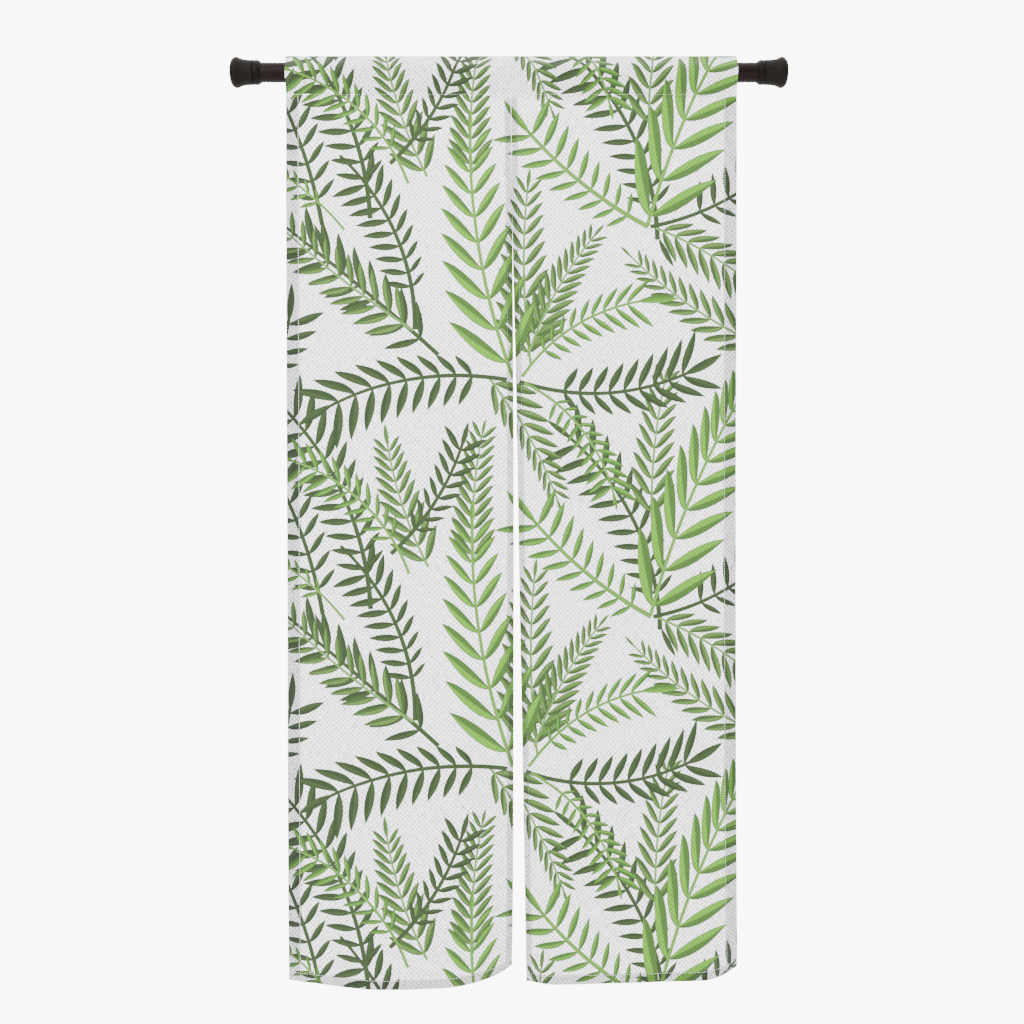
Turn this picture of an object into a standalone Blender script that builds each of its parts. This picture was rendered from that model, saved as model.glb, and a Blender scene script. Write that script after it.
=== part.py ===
# Noren curtain: two printed cloth panels, each with its own rod pocket, on a round rod with flared rubber
# feet. Metres. X runs along the rod to the viewer's right, Y away from the viewer, Z up. The origin is the
# middle of the rod's axis.

import math
from collections import namedtuple

import bmesh
import bpy
from mathutils import Vector

# Rod
ROD_SPAN = 1.067
ROD_RADIUS = 0.0186
ROD_WALL = 0.0008
GAP = 0.0003
ROUND_SIDES = 36

# Flared foot, along the axis from its pad inwards
FOOT_LENGTH = 0.0442
FOOT_NECK_RADIUS = 0.0235
FOOT_RIM_RADIUS = 0.0294
FOOT_PAD_RADIUS = 0.014
FOOT_RIM_AT = 0.013
SHOULDER_STEPS = 5
FLARE_STEPS = 7
FLARE_POWER = 3.0
ROD_STOPS_AT = 0.016
GROOVE_DEPTH = 0.0012
GROOVE_HALF_WIDTH = 0.0012

# Collar behind each foot
COLLAR_BODY = 0.0087
COLLAR_CHAMFER = 0.0055
COLLAR_LIP = 0.0006

# Cloth
PANEL_WIDTH = 0.432
DROP = 1.778
CURTAIN_SHIFT = 0.0047
CLOTH = 0.0012
HEM_EXTRA = 0.0008
CREASE_ABOVE_AXIS = 0.0316
CREASE_RADIUS = 0.0016
POCKET_EASE = 0.0002
POCKET_SEAM_BELOW_AXIS = 0.0412
SEAM_ALLOWANCE = 0.008
OUTER_HEM = 0.025
INNER_HEM = 0.013
BOTTOM_HEM = 0.0185
HEM_STEP = 0.0012
LEFT_PANEL_LONGER = 0.004

# How the folds grow down the cloth: sway from the pocket seam, curl only near the hem
SWAY_POWER = 1.5
CURL_STARTS = 0.84
CURL_POWER = 2.0

COLUMNS = 15
ROWS = 28
ROW_CROWDING = 1.25
FACING_STEP = 0.004
FALL_STEP = 0.03
POCKET_ARC_STEPS = 4
CREASE_ARC_STEPS = 2

# Sideways place of each long edge, measured from its place when hung flat, by distance below the top crease
EdgeRow = namedtuple("EdgeRow", "drop left_outer left_inner right_inner right_outer")
EDGES = (
    EdgeRow(0.000, 0.0000, -0.0020, -0.0020, 0.0000),
    EdgeRow(0.170, 0.0000, 0.0000, 0.0000, 0.0000),
    EdgeRow(0.343, 0.0000, 0.0020, 0.0020, 0.0000),
    EdgeRow(0.680, 0.0005, 0.0042, 0.0096, -0.0005),
    EdgeRow(1.040, 0.0010, 0.0045, 0.0157, 0.0000),
    EdgeRow(1.420, 0.0012, 0.0040, 0.0228, 0.0015),
    EdgeRow(1.620, 0.0014, 0.0028, 0.0262, 0.0040),
    EdgeRow(1.778, 0.0016, 0.0006, 0.0291, 0.0090),
)

# Depth of the folds at the hem, away from the viewer, and how far the hem is drawn up, by share of the width
HemRow = namedtuple("HemRow", "across sway curl lift")
LEFT_HEM = (
    HemRow(0.00, 0.026, 0.008, 0.001),
    HemRow(0.17, 0.006, 0.001, 0.000),
    HemRow(0.37, -0.026, 0.000, 0.000),
    HemRow(0.50, -0.028, 0.000, 0.000),
    HemRow(0.63, -0.021, 0.001, 0.000),
    HemRow(0.74, -0.013, 0.002, 0.000),
    HemRow(0.84, 0.001, 0.013, 0.001),
    HemRow(0.93, 0.013, 0.031, 0.005),
    HemRow(1.00, 0.020, 0.050, 0.013),
)
RIGHT_HEM = (
    HemRow(0.00, 0.014, 0.001, 0.001),
    HemRow(0.10, -0.006, 0.000, 0.000),
    HemRow(0.19, -0.007, 0.000, 0.000),
    HemRow(0.40, 0.001, 0.000, 0.000),
    HemRow(0.62, 0.010, 0.000, 0.000),
    HemRow(0.83, 0.015, 0.004, 0.000),
    HemRow(0.915, 0.021, 0.017, 0.003),
    HemRow(1.00, 0.027, 0.039, 0.010),
)

PRINTED_WHITE = (0.80, 0.80, 0.79, 1.0)
ROD_BROWN = (0.022, 0.015, 0.013, 1.0)
COLLAR_BROWN = (0.020, 0.014, 0.012, 1.0)
FOOT_BLACK = (0.015, 0.013, 0.011, 1.0)


def material(name, colour, roughness, metallic=0.0):
    made = bpy.data.materials.new(name)
    made.use_nodes = True
    shader = made.node_tree.nodes["Principled BSDF"]
    shader.inputs["Base Color"].default_value = colour
    shader.inputs["Roughness"].default_value = roughness
    shader.inputs["Metallic"].default_value = metallic
    return made


def add_object(name, mesh, finish):
    made = bpy.data.objects.new(name, mesh)
    bpy.context.scene.collection.objects.link(made)
    mesh.materials.append(finish)
    return made


def smooth_value(rows, key, column, at):
    """A cubic through one column of a table, with each row's slope taken from its neighbours."""
    xs = [getattr(row, key) for row in rows]
    ys = [getattr(row, column) for row in rows]
    last = len(rows) - 1
    at = min(max(at, xs[0]), xs[-1])
    i = max(k for k in range(last) if xs[k] <= at)

    def slope(k):
        a, b = max(k - 1, 0), min(k + 1, last)
        return (ys[b] - ys[a]) / (xs[b] - xs[a])

    width = xs[i + 1] - xs[i]
    u = (at - xs[i]) / width
    return (
        (2 * u**3 - 3 * u**2 + 1) * ys[i]
        + (u**3 - 2 * u**2 + u) * width * slope(i)
        + (3 * u**2 - 2 * u**3) * ys[i + 1]
        + (u**3 - u**2) * width * slope(i + 1)
    )


def turned(name, profile, finish, side, bored):
    """Turns a profile of (distance from the end of the rod, radius) about the rod's axis.

    A bored shape closes its profile round a hole, and any other is closed by a disc at each end. Side is -1
    at the left and 1 at the right.
    """
    bm = bmesh.new()
    rings = []
    for along, radius in profile:
        x = side * (ROD_SPAN / 2 - along)
        turns = [math.tau * k / ROUND_SIDES for k in range(ROUND_SIDES)]
        rings.append([bm.verts.new((x, radius * math.sin(turn), radius * math.cos(turn))) for turn in turns])
    if bored:
        rings.append(rings[0])
    else:
        bm.faces.new(rings[0])
        bm.faces.new(rings[-1])
    for a, b in zip(rings, rings[1:]):
        for k in range(ROUND_SIDES):
            after = (k + 1) % ROUND_SIDES
            bm.faces.new((a[k], a[after], b[after], b[k]))
    bmesh.ops.recalc_face_normals(bm, faces=bm.faces)
    mesh = bpy.data.meshes.new(name)
    bm.to_mesh(mesh)
    bm.free()
    mesh.shade_smooth()
    mesh.set_sharp_from_angle(angle=math.radians(30))
    return add_object(name, mesh, finish)


def foot_profile():
    """Flat pad, domed shoulder, rim, flare down to the neck, groove, and a blind hole for the rod's end."""
    profile = []
    for i in range(SHOULDER_STEPS + 1):
        turn = math.pi / 2 * i / SHOULDER_STEPS
        along = FOOT_RIM_AT * (1 - math.cos(turn))
        radius = FOOT_PAD_RADIUS + (FOOT_RIM_RADIUS - FOOT_PAD_RADIUS) * math.sin(turn)
        profile.append((along, radius))
    flare_ends_at = FOOT_LENGTH - GROOVE_HALF_WIDTH
    for i in range(1, FLARE_STEPS + 1):
        u = i / FLARE_STEPS
        along = FOOT_RIM_AT + (flare_ends_at - FOOT_RIM_AT) * u
        radius = FOOT_NECK_RADIUS + (FOOT_RIM_RADIUS - FOOT_NECK_RADIUS) * (1 - u) ** FLARE_POWER
        profile.append((along, radius))
    hole = ROD_RADIUS + GAP
    profile += [
        (FOOT_LENGTH, FOOT_NECK_RADIUS - GROOVE_DEPTH),
        (FOOT_LENGTH, hole),
        (ROD_STOPS_AT - GAP, hole),
    ]
    return profile


def collar_profile():
    """A ring that starts at the groove and chamfers down to the rod."""
    start = FOOT_LENGTH + GAP
    bore = ROD_RADIUS + GAP
    body_end = start + COLLAR_BODY
    return [
        (start, bore),
        (start, FOOT_NECK_RADIUS - GROOVE_DEPTH),
        (start + GROOVE_HALF_WIDTH, FOOT_NECK_RADIUS),
        (body_end, FOOT_NECK_RADIUS),
        (body_end + COLLAR_CHAMFER, bore + COLLAR_LIP),
        (body_end + COLLAR_CHAMFER, bore),
    ]


def rod_profile():
    """A plain tube that runs from inside one foot to inside the other."""
    start, end = ROD_STOPS_AT, ROD_SPAN - ROD_STOPS_AT
    inner = ROD_RADIUS - ROD_WALL
    return [(start, inner), (start, ROD_RADIUS), (end, ROD_RADIUS), (end, inner)]


def pocket_section():
    """Outer and inner (y, z) points of the pocket's loop, from the seam up the front and down the back.

    The cloth's middle line is a taut band: straight from the seam to the rod, round it, and straight to a
    small round crease above it.
    """
    half = CLOTH / 2
    hug = ROD_RADIUS + GAP + POCKET_EASE + half
    crease_centre = CREASE_ABOVE_AXIS - half - CREASE_RADIUS
    rise = math.asin((hug - CREASE_RADIUS) / crease_centre)
    seam = Vector((half, -POCKET_SEAM_BELOW_AXIS))
    toward_seam = math.atan2(seam.y, seam.x)
    fall = toward_seam + math.acos(hug / seam.length)
    arc = [fall + (rise - fall) * i / POCKET_ARC_STEPS for i in range(POCKET_ARC_STEPS + 1)]
    back = [(Vector((0, 0)), hug, turn) for turn in arc]
    for i in range(CREASE_ARC_STEPS):
        turn = rise + (math.pi / 2 - rise) * i / CREASE_ARC_STEPS
        back.append((Vector((0, crease_centre)), CREASE_RADIUS, turn))
    crown = (Vector((0, crease_centre)), CREASE_RADIUS, math.pi / 2)
    front = [(centre, radius, math.pi - turn) for centre, radius, turn in back]
    outer = [(-CLOTH, -POCKET_SEAM_BELOW_AXIS)]
    inner = [(0.0, -POCKET_SEAM_BELOW_AXIS)]
    for centre, radius, turn in front + [crown] + back[::-1]:
        out = Vector((math.cos(turn), math.sin(turn)))
        outer.append(tuple(centre + out * (radius + half)))
        inner.append(tuple(centre + out * (radius - half)))
    outer.append((CLOTH, -POCKET_SEAM_BELOW_AXIS))
    return outer, inner


def column_places():
    """Shares of a panel's width for its columns, with a close pair at each side hem's inner edge."""
    first, last = OUTER_HEM / PANEL_WIDTH, 1 - INNER_HEM / PANEL_WIDTH
    step = HEM_STEP / PANEL_WIDTH
    middle = [first + step + (last - first - 2 * step) * i / (COLUMNS - 1) for i in range(COLUMNS)]
    return [0.0, first] + middle + [last, 1.0]


def row_places(length):
    """Distances below the pocket seam, closer together to the hem, with a close pair at its upper edge."""
    top = SEAM_ALLOWANCE + HEM_STEP
    hem_top = length - BOTTOM_HEM
    reach = hem_top - HEM_STEP - top
    middle = [top + reach * (1 - (1 - i / ROWS) ** ROW_CROWDING) for i in range(ROWS + 1)]
    return [0.0, SEAM_ALLOWANCE] + middle + [hem_top, length]


def panel_surface(hem, outer_column, inner_column, side, length):
    """Functions for the cloth's resting place and the way it faces, by share across and distance down."""
    crease_to_seam = CREASE_ABOVE_AXIS + POCKET_SEAM_BELOW_AXIS
    stretch = (DROP - crease_to_seam) / length

    def depth(across, share):
        curl = max(0.0, (share - CURL_STARTS) / (1 - CURL_STARTS)) ** CURL_POWER
        sway = share**SWAY_POWER
        return (
            smooth_value(hem, "across", "sway", across) * sway
            + smooth_value(hem, "across", "curl", across) * curl
        )

    def height(across, down):
        """Walks down the cloth, so that it keeps its length where a fold leans."""
        steps = max(1, math.ceil(down / FALL_STEP))
        fallen, before = 0.0, 0.0
        for i in range(1, steps + 1):
            now = depth(across, down * i / steps / length)
            fallen += math.sqrt(max((down / steps) ** 2 - (now - before) ** 2, 0.0))
            before = now
        lift = smooth_value(hem, "across", "lift", across)
        curl = max(0.0, (down / length - CURL_STARTS) / (1 - CURL_STARTS)) ** CURL_POWER
        return -POCKET_SEAM_BELOW_AXIS - fallen + lift * curl

    def sideways(across, down):
        drop = crease_to_seam + down * stretch
        outer = side * PANEL_WIDTH + smooth_value(EDGES, "drop", outer_column, drop)
        inner = smooth_value(EDGES, "drop", inner_column, drop) + side * GAP / 2
        return CURTAIN_SHIFT + outer + (inner - outer) * across

    def place(across, down):
        """Columns count from the outer edge, and the hem tables from the left edge."""
        share = across if side < 0 else 1 - across
        return Vector((sideways(across, down), depth(share, down / length), height(share, down)))

    def facing(across, down):
        """The unit normal that points away from the viewer."""
        left, right = max(across - FACING_STEP, 0), min(across + FACING_STEP, 1)
        up, low = max(down - FACING_STEP, 0), min(down + FACING_STEP, length)
        along = place(right, down) - place(left, down)
        fall = place(across, low) - place(across, up)
        normal = along.cross(fall).normalized()
        return normal if normal.y > 0 else -normal

    return place, facing, sideways


def panel(name, hem, outer_column, inner_column, side, length, finish):
    """One piece of cloth: the hung sheet with its hems, and the pocket's loop that its top is folded into."""
    place, facing, sideways = panel_surface(hem, outer_column, inner_column, side, length)
    outer, inner = pocket_section()
    columns, rows = column_places(), row_places(length)
    bm = bmesh.new()
    sections = []
    for c, across in enumerate(columns):
        x = sideways(across, 0.0)
        side_hem = c in (0, 1, len(columns) - 2, len(columns) - 1)
        loop_out = [bm.verts.new((x, y, z)) for y, z in outer]
        loop_in = [bm.verts.new((x, y, z)) for y, z in inner]
        loop_in.append(loop_in[0])
        front, back = [loop_out[0]], [loop_out[-1]]
        for r, down in enumerate(rows[1:], 1):
            rest, normal = place(across, down), facing(across, down)
            in_seam = r == 1
            in_hem = side_hem or r >= len(rows) - 2
            behind = CLOTH if in_seam else HEM_EXTRA if in_hem else 0.0
            front.append(bm.verts.new(rest - normal * CLOTH))
            back.append(bm.verts.new(rest + normal * behind))
        sections.append((loop_out, loop_in, front, back))
    for now, after in zip(sections, sections[1:]):
        for a, b in zip(now, after):
            for i in range(len(a) - 1):
                bm.faces.new((a[i], a[i + 1], b[i + 1], b[i]))
        bm.faces.new((now[2][-1], after[2][-1], after[3][-1], now[3][-1]))
    for loop_out, loop_in, front, back in (sections[0], sections[-1]):
        for i in range(len(loop_out) - 1):
            bm.faces.new((loop_out[i], loop_out[i + 1], loop_in[i + 1], loop_in[i]))
        bm.faces.new((loop_out[0], loop_in[0], loop_out[-1]))
        for i in range(len(front) - 1):
            bm.faces.new((front[i], front[i + 1], back[i + 1], back[i]))
    bmesh.ops.triangulate(bm, faces=bm.faces)
    bmesh.ops.recalc_face_normals(bm, faces=bm.faces)
    mesh = bpy.data.meshes.new(name)
    bm.to_mesh(mesh)
    bm.free()
    mesh.shade_smooth()
    mesh.set_sharp_from_angle(angle=math.radians(40))
    return add_object(name, mesh, finish)


def main():
    for old in list(bpy.data.objects):
        bpy.data.objects.remove(old)
    cloth = material("printed cloth", PRINTED_WHITE, 0.9)
    brown = material("rod brown", ROD_BROWN, 0.45)
    collar_brown = material("collar brown", COLLAR_BROWN, 0.5)
    rubber = material("foot rubber", FOOT_BLACK, 0.65)
    turned("rod", rod_profile(), brown, 1, bored=True)
    for word, side in (("left", -1), ("right", 1)):
        turned("collar_" + word, collar_profile(), collar_brown, side, bored=True)
        turned("foot_" + word, foot_profile(), rubber, side, bored=False)
    length = DROP - CREASE_ABOVE_AXIS - POCKET_SEAM_BELOW_AXIS
    panel("panel_left", LEFT_HEM, "left_outer", "left_inner", -1, length + LEFT_PANEL_LONGER, cloth)
    panel("panel_right", RIGHT_HEM, "right_outer", "right_inner", 1, length, cloth)


main()
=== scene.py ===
# Noren curtain on a rod: the hung cloth with its leaf print and sewing, and the rod with its feet.
# Metres. X to the viewer's right, Y away from the viewer, Z up, from the middle of the rod.
import math

import bpy
import numpy as np
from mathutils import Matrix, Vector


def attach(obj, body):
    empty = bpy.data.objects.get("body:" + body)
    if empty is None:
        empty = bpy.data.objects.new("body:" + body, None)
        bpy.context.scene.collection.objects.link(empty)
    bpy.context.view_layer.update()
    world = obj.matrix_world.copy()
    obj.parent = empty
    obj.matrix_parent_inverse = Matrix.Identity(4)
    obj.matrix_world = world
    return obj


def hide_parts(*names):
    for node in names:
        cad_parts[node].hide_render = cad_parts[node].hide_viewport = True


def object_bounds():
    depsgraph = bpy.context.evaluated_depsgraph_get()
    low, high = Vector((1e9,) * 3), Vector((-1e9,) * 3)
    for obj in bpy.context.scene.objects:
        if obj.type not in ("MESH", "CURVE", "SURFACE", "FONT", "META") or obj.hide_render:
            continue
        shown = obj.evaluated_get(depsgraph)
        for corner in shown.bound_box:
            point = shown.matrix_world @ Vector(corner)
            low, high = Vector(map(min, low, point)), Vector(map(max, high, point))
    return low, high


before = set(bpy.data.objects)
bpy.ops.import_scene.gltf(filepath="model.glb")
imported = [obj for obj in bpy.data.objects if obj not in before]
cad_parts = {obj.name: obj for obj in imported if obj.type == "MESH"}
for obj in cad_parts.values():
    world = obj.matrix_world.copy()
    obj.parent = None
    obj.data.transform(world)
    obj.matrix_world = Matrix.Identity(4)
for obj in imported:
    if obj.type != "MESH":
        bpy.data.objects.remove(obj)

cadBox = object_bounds()
print("frame loaded:", sorted(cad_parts))


# helpers for objects and their points

def addObject(name, data):
    made = bpy.data.objects.new(name, data)
    bpy.context.scene.collection.objects.link(made)
    return made


def addMesh(name, points, faces, finish):
    mesh = bpy.data.meshes.new(name)
    mesh.from_pydata(points, [], faces)
    mesh.polygons.foreach_set("use_smooth", np.full(len(mesh.polygons), True))
    mesh.materials.append(finish)
    mesh.update()
    return addObject(name, mesh)


def setUv(made, name, faces, perPoint):
    made.data.uv_layers.new(name=name).data.foreach_set("uv", perPoint[faces.ravel()].ravel())


def setValue(made, name, perPoint):
    made.data.attributes.new(name, "FLOAT", "POINT").data.foreach_set("value", perPoint.astype(np.float32))


def lengths(vectors):
    return np.linalg.norm(vectors, axis=-1, keepdims=True)


def smoothStep(low, high, at):
    # 0 below low, 1 above high, and an even rise between
    u = np.clip((at - low) / (high - low), 0, 1)
    return u * u * (3 - 2 * u)


def easeThrough(xs, ys, at):
    # a cubic through the points, with each point's slope taken from its two neighbours
    xs, ys = np.asarray(xs, float), np.asarray(ys, float)
    ends = np.concatenate([[0], np.arange(len(xs)), [len(xs) - 1]])
    slope = (ys[ends[2:]] - ys[ends[:-2]]) / (xs[ends[2:]] - xs[ends[:-2]])
    at = np.clip(at, xs[0], xs[-1])
    i = np.clip(np.searchsorted(xs, at, side="right") - 1, 0, len(xs) - 2)
    width = xs[i + 1] - xs[i]
    u = (at - xs[i]) / width
    start = (2 * u**3 - 3 * u**2 + 1) * ys[i] + (u**3 - 2 * u**2 + u) * width * slope[i]
    end = (3 * u**2 - 2 * u**3) * ys[i + 1] + (u**3 - u**2) * width * slope[i + 1]
    return start + end


# helpers for shaders

def newMaterial(name):
    material = bpy.data.materials.new(name)
    material.use_nodes = True
    tree = material.node_tree
    return material, tree, tree.nodes["Principled BSDF"]


def setSockets(node, values):
    # values is a dictionary of socket name to its constant
    for socketName, value in values.items():
        node.inputs[socketName].default_value = value


def connect(value, socket):
    if isinstance(value, bpy.types.NodeSocket):
        socket.id_data.links.new(value, socket)
    else:
        socket.default_value = value


def connectAll(values, sockets):
    for value, socket in zip(values, sockets):
        connect(value, socket)


def nodeBeside(values, kind):
    # a new node in the tree that the first socket among the values belongs to
    tree = next(value.id_data for value in values if isinstance(value, bpy.types.NodeSocket))
    return tree.nodes.new(kind)


def calc(operation, *values, clamp=False):
    node = nodeBeside(values, "ShaderNodeMath")
    node.operation = operation
    node.use_clamp = clamp
    connectAll(values, node.inputs)
    return node.outputs[0]


def times(first, second):
    return calc("MULTIPLY", first, second)


def plus(first, second):
    return calc("ADD", first, second)


def minus(first, second):
    return calc("SUBTRACT", first, second)


def ratio(first, second):
    return calc("DIVIDE", first, second)


def timesPlus(value, factor, more, clamp=False):
    return calc("MULTIPLY_ADD", value, factor, more, clamp=clamp)


def vectorCalc(operation, *values):
    node = nodeBeside(values, "ShaderNodeVectorMath")
    node.operation = operation
    connectAll(values, node.inputs)
    return node.outputs["Value" if operation == "DOT_PRODUCT" else "Vector"]


def mixOf(kind, factor, first, second, blend="MIX"):
    # the mix node has sockets for each kind of data, with the kind at the end of their identifiers
    node = nodeBeside((factor, first, second), "ShaderNodeMix")
    node.data_type = kind
    node.blend_type = blend
    ending = {"FLOAT": "Float", "VECTOR": "Vector", "RGBA": "Color"}[kind]
    sockets = {socket.identifier: socket for socket in [*node.inputs, *node.outputs]}
    connect(factor, sockets["Factor_Float"])
    connect(first, sockets["A_" + ending])
    connect(second, sockets["B_" + ending])
    return sockets["Result_" + ending]


def mixColours(factor, first, second):
    return mixOf("RGBA", factor, first, second)


def tint(first, second):
    return mixOf("RGBA", 1.0, first, second, "MULTIPLY")


def tintByTone(colour, tone):
    return tint(colour, joinVector(tone, tone, tone))


def splitVector(vector):
    node = nodeBeside([vector], "ShaderNodeSeparateXYZ")
    connect(vector, node.inputs[0])
    return node.outputs


def joinVector(*values):
    node = nodeBeside(values, "ShaderNodeCombineXYZ")
    connectAll(values, node.inputs)
    return node.outputs[0]


def noise(vector, scale, detail, roughness=0.5):
    node = nodeBeside([vector], "ShaderNodeTexNoise")
    connect(vector, node.inputs["Vector"])
    connect(scale, node.inputs["Scale"])
    setSockets(node, {"Detail": detail, "Roughness": roughness})
    return node.outputs["Fac"]


def attribute(tree, name):
    node = tree.nodes.new("ShaderNodeAttribute")
    node.attribute_name = name
    return node.outputs["Fac"]


def objectPlace(tree):
    return tree.nodes.new("ShaderNodeTexCoord").outputs["Object"]


def addBump(shader, height, strength, distance):
    bump = nodeBeside([height], "ShaderNodeBump")
    setSockets(bump, {"Strength": strength, "Distance": distance})
    connect(height, bump.inputs["Height"])
    connect(bump.outputs["Normal"], shader.inputs["Normal"])


def startGroup(name, inputs, outputs):
    # inputs is a dictionary of socket name to its starting value, outputs of socket name to its kind
    group = bpy.data.node_groups.new(name, "ShaderNodeTree")
    for socketName, value in inputs.items():
        kind = "Float"
        if isinstance(value, tuple):
            kind = "Vector" if len(value) == 3 else "Color"
        socket = group.interface.new_socket(name=socketName, in_out="INPUT", socket_type="NodeSocket" + kind)
        socket.default_value = value
    for socketName, kind in outputs.items():
        group.interface.new_socket(name=socketName, in_out="OUTPUT", socket_type="NodeSocket" + kind)
    given = group.nodes.new("NodeGroupInput").outputs
    results = group.nodes.new("NodeGroupOutput").inputs
    return group, given, results


def useGroup(tree, group, **values):
    # socket names are given in camelCase, such as slubTurns for Slub Turns
    node = tree.nodes.new("ShaderNodeGroup")
    node.node_tree = group
    for socket in node.inputs:
        name = socket.name.replace(" ", "")
        connect(values[name[0].lower() + name[1:]], socket)
    return node.outputs


# camera, floor and light

view = {
    "distance": 3.0,
    "level": -0.8425,
    "middleX": 0.0058,
    "frameWidth": 1.963,  # what the picture shows from side to side at the curtain
    "sensor": 0.036,
}


def addCamera():
    camera = addObject("camera", bpy.data.cameras.new("camera"))
    camera.data.sensor_width = view["sensor"] * 1000
    camera.data.lens = camera.data.sensor_width * view["distance"] / view["frameWidth"]
    camera.location = (view["middleX"], -view["distance"], view["level"])
    camera.rotation_euler = (math.pi / 2, 0, 0)
    bpy.context.scene.camera = camera


studio = {
    "floorBelowHem": 0.28,
    "floorSize": 30.0,
    "floorColour": (0.86, 0.86, 0.85, 1),
    "floorGlow": 5.6,  # what the floor shows beyond the light that it throws back, as in a bright studio
    "levelStrength": 0.25,  # of the room round the horizon, up to levelUpTo
    "levelUpTo": 0.1,
    "overheadStrength": 5.2,  # of the room overhead, from overheadFrom
    "overheadFrom": 0.8,
    "backdropStrength": 9.2,  # of the room where the camera sees it
    "lamps": [
        {"name": "keyLamp", "at": (-0.9, -2.0, 0.7), "size": 1.6, "power": 85, "colour": (1.0, 0.99, 0.98)},
        {"name": "fillLamp", "at": (2.0, -2.8, -0.4), "size": 2.4, "power": 22, "colour": (0.98, 0.99, 1.0)},
    ],
    "aim": (0.0, 0.0, -0.6),
}


def seenByCamera(tree):
    return tree.nodes.new("ShaderNodeLightPath").outputs["Is Camera Ray"]


def addFloor():
    low = cadBox[0][2] - studio["floorBelowHem"]
    half = studio["floorSize"] / 2
    corners = [(-half, -half, low), (half, -half, low), (half, half, low), (-half, half, low)]
    pale, tree, shader = newMaterial("paleFloor")
    setSockets(shader, {
        "Base Color": studio["floorColour"], "Roughness": 0.9, "Emission Color": (1, 1, 1, 1),
    })
    connect(times(seenByCamera(tree), studio["floorGlow"]), shader.inputs["Emission Strength"])
    addMesh("floor", corners, [(0, 1, 2, 3)], pale)


def addRoom():
    # dim round the horizon and bright overhead, which lights the floor as bright as the backdrop behind it
    world = bpy.data.worlds.new("softRoom")
    world.use_nodes = True
    tree = world.node_tree
    background = tree.nodes["Background"]
    setSockets(background, {"Color": (1, 1, 1, 1)})
    way = tree.nodes.new("ShaderNodeTexCoord").outputs["Generated"]
    overhead = tree.nodes.new("ShaderNodeMapRange")
    overhead.interpolation_type = "SMOOTHSTEP"
    setSockets(overhead, {
        "From Min": studio["levelUpTo"], "From Max": studio["overheadFrom"],
        "To Min": studio["levelStrength"], "To Max": studio["overheadStrength"],
    })
    connect(splitVector(way)["Z"], overhead.inputs["Value"])
    lighting, shown = overhead.outputs["Result"], studio["backdropStrength"]
    connect(mixOf("FLOAT", seenByCamera(tree), lighting, shown), background.inputs["Strength"])
    bpy.context.scene.world = world


def addLamps():
    for lamp in studio["lamps"]:
        light = bpy.data.lights.new(lamp["name"], "AREA")
        light.size = lamp["size"]
        light.energy = lamp["power"]
        light.color = lamp["colour"]
        made = addObject(lamp["name"], light)
        made.location = lamp["at"]
        aim = np.array(studio["aim"]) - np.array(lamp["at"])
        made.rotation_euler = (math.acos(-aim[2] / np.linalg.norm(aim)), 0, math.atan2(-aim[0], aim[1]))


addCamera()
addFloor()
addRoom()
addLamps()
print("camera, floor and lights set")


# how the cloth hangs

cloth = {
    "panelWidth": 0.432,
    "drop": 1.778,
    "shift": 0.0047,  # the curtain hangs this far right of the rod's middle
    "seamGap": 0.0003,
    "solidSheet": 0.0012,  # thickness of the plain solid that this cloth lies on
    "sheet": 0.0010,
    "hemExtra": 0.0007,  # how much the turned hem adds at the back
    "hemStep": 0.0006,  # half the width of the step onto the turned hem
    "edgeRound": 0.0011,
    "edgeThin": 0.3,  # share of the thickness left at the very edge
    "creaseAbove": 0.0316,
    "creaseRadius": 0.0016,
    "pocketSeamBelow": 0.0412,
    "pocketEase": 0.0005,
    "rodRadius": 0.0186,
    "seamAllowance": 0.008,
    "outerHem": 0.025,
    "innerHem": 0.0125,
    "bottomHem": 0.0185,
    "stitchInset": 0.002,  # a stitch line lies this far inside the hem's folded edge
    "grooveDepth": 0.00032,  # the face is drawn in along a stitch line
    "grooveReach": 0.0009,
    "puckerReach": 0.009,
    "swayPower": 1.5,
    "curlStarts": 0.84,
    "curlPower": 2.0,
    "wavesSettle": 0.25,  # share of the length in which the small waves grow to their full depth
    "columnStep": 0.0058,  # steps of the mesh, across, down and round the pocket
    "rowStep": 0.0052,
    "pocketStep": 0.003,
}
# sideways place of each long edge from where it hangs flat, by distance below the top crease
edgePlaces = {
    "drop": [0.000, 0.170, 0.343, 0.680, 1.040, 1.420, 1.620, 1.778],
    "leftOuter": [0.0000, 0.0000, 0.0000, 0.0005, 0.0010, 0.0012, 0.0014, 0.0016],
    "leftInner": [-0.0020, 0.0000, 0.0020, 0.0042, 0.0045, 0.0040, 0.0028, 0.0006],
    "rightInner": [-0.0020, 0.0000, 0.0020, 0.0096, 0.0157, 0.0228, 0.0262, 0.0291],
    "rightOuter": [0.0000, 0.0000, 0.0000, -0.0005, 0.0000, 0.0015, 0.0040, 0.0090],
}
# depth of the folds at the hem, away from the viewer, and how far the hem is drawn up, by share of the width
leftFolds = {
    "across": [0.00, 0.17, 0.37, 0.50, 0.63, 0.74, 0.84, 0.93, 1.00],
    "sway": [0.026, 0.006, -0.026, -0.028, -0.021, -0.013, 0.001, 0.013, 0.020],
    "curl": [0.008, 0.001, 0.000, 0.000, 0.001, 0.002, 0.013, 0.031, 0.050],
    "lift": [0.001, 0.000, 0.000, 0.000, 0.000, 0.000, 0.001, 0.005, 0.013],
}
rightFolds = {
    "across": [0.00, 0.10, 0.19, 0.40, 0.62, 0.83, 0.915, 1.00],
    "sway": [0.014, -0.006, -0.007, 0.001, 0.010, 0.015, 0.021, 0.027],
    "curl": [0.001, 0.000, 0.000, 0.000, 0.000, 0.004, 0.017, 0.039],
    "lift": [0.001, 0.000, 0.000, 0.000, 0.000, 0.000, 0.003, 0.010],
}
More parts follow.
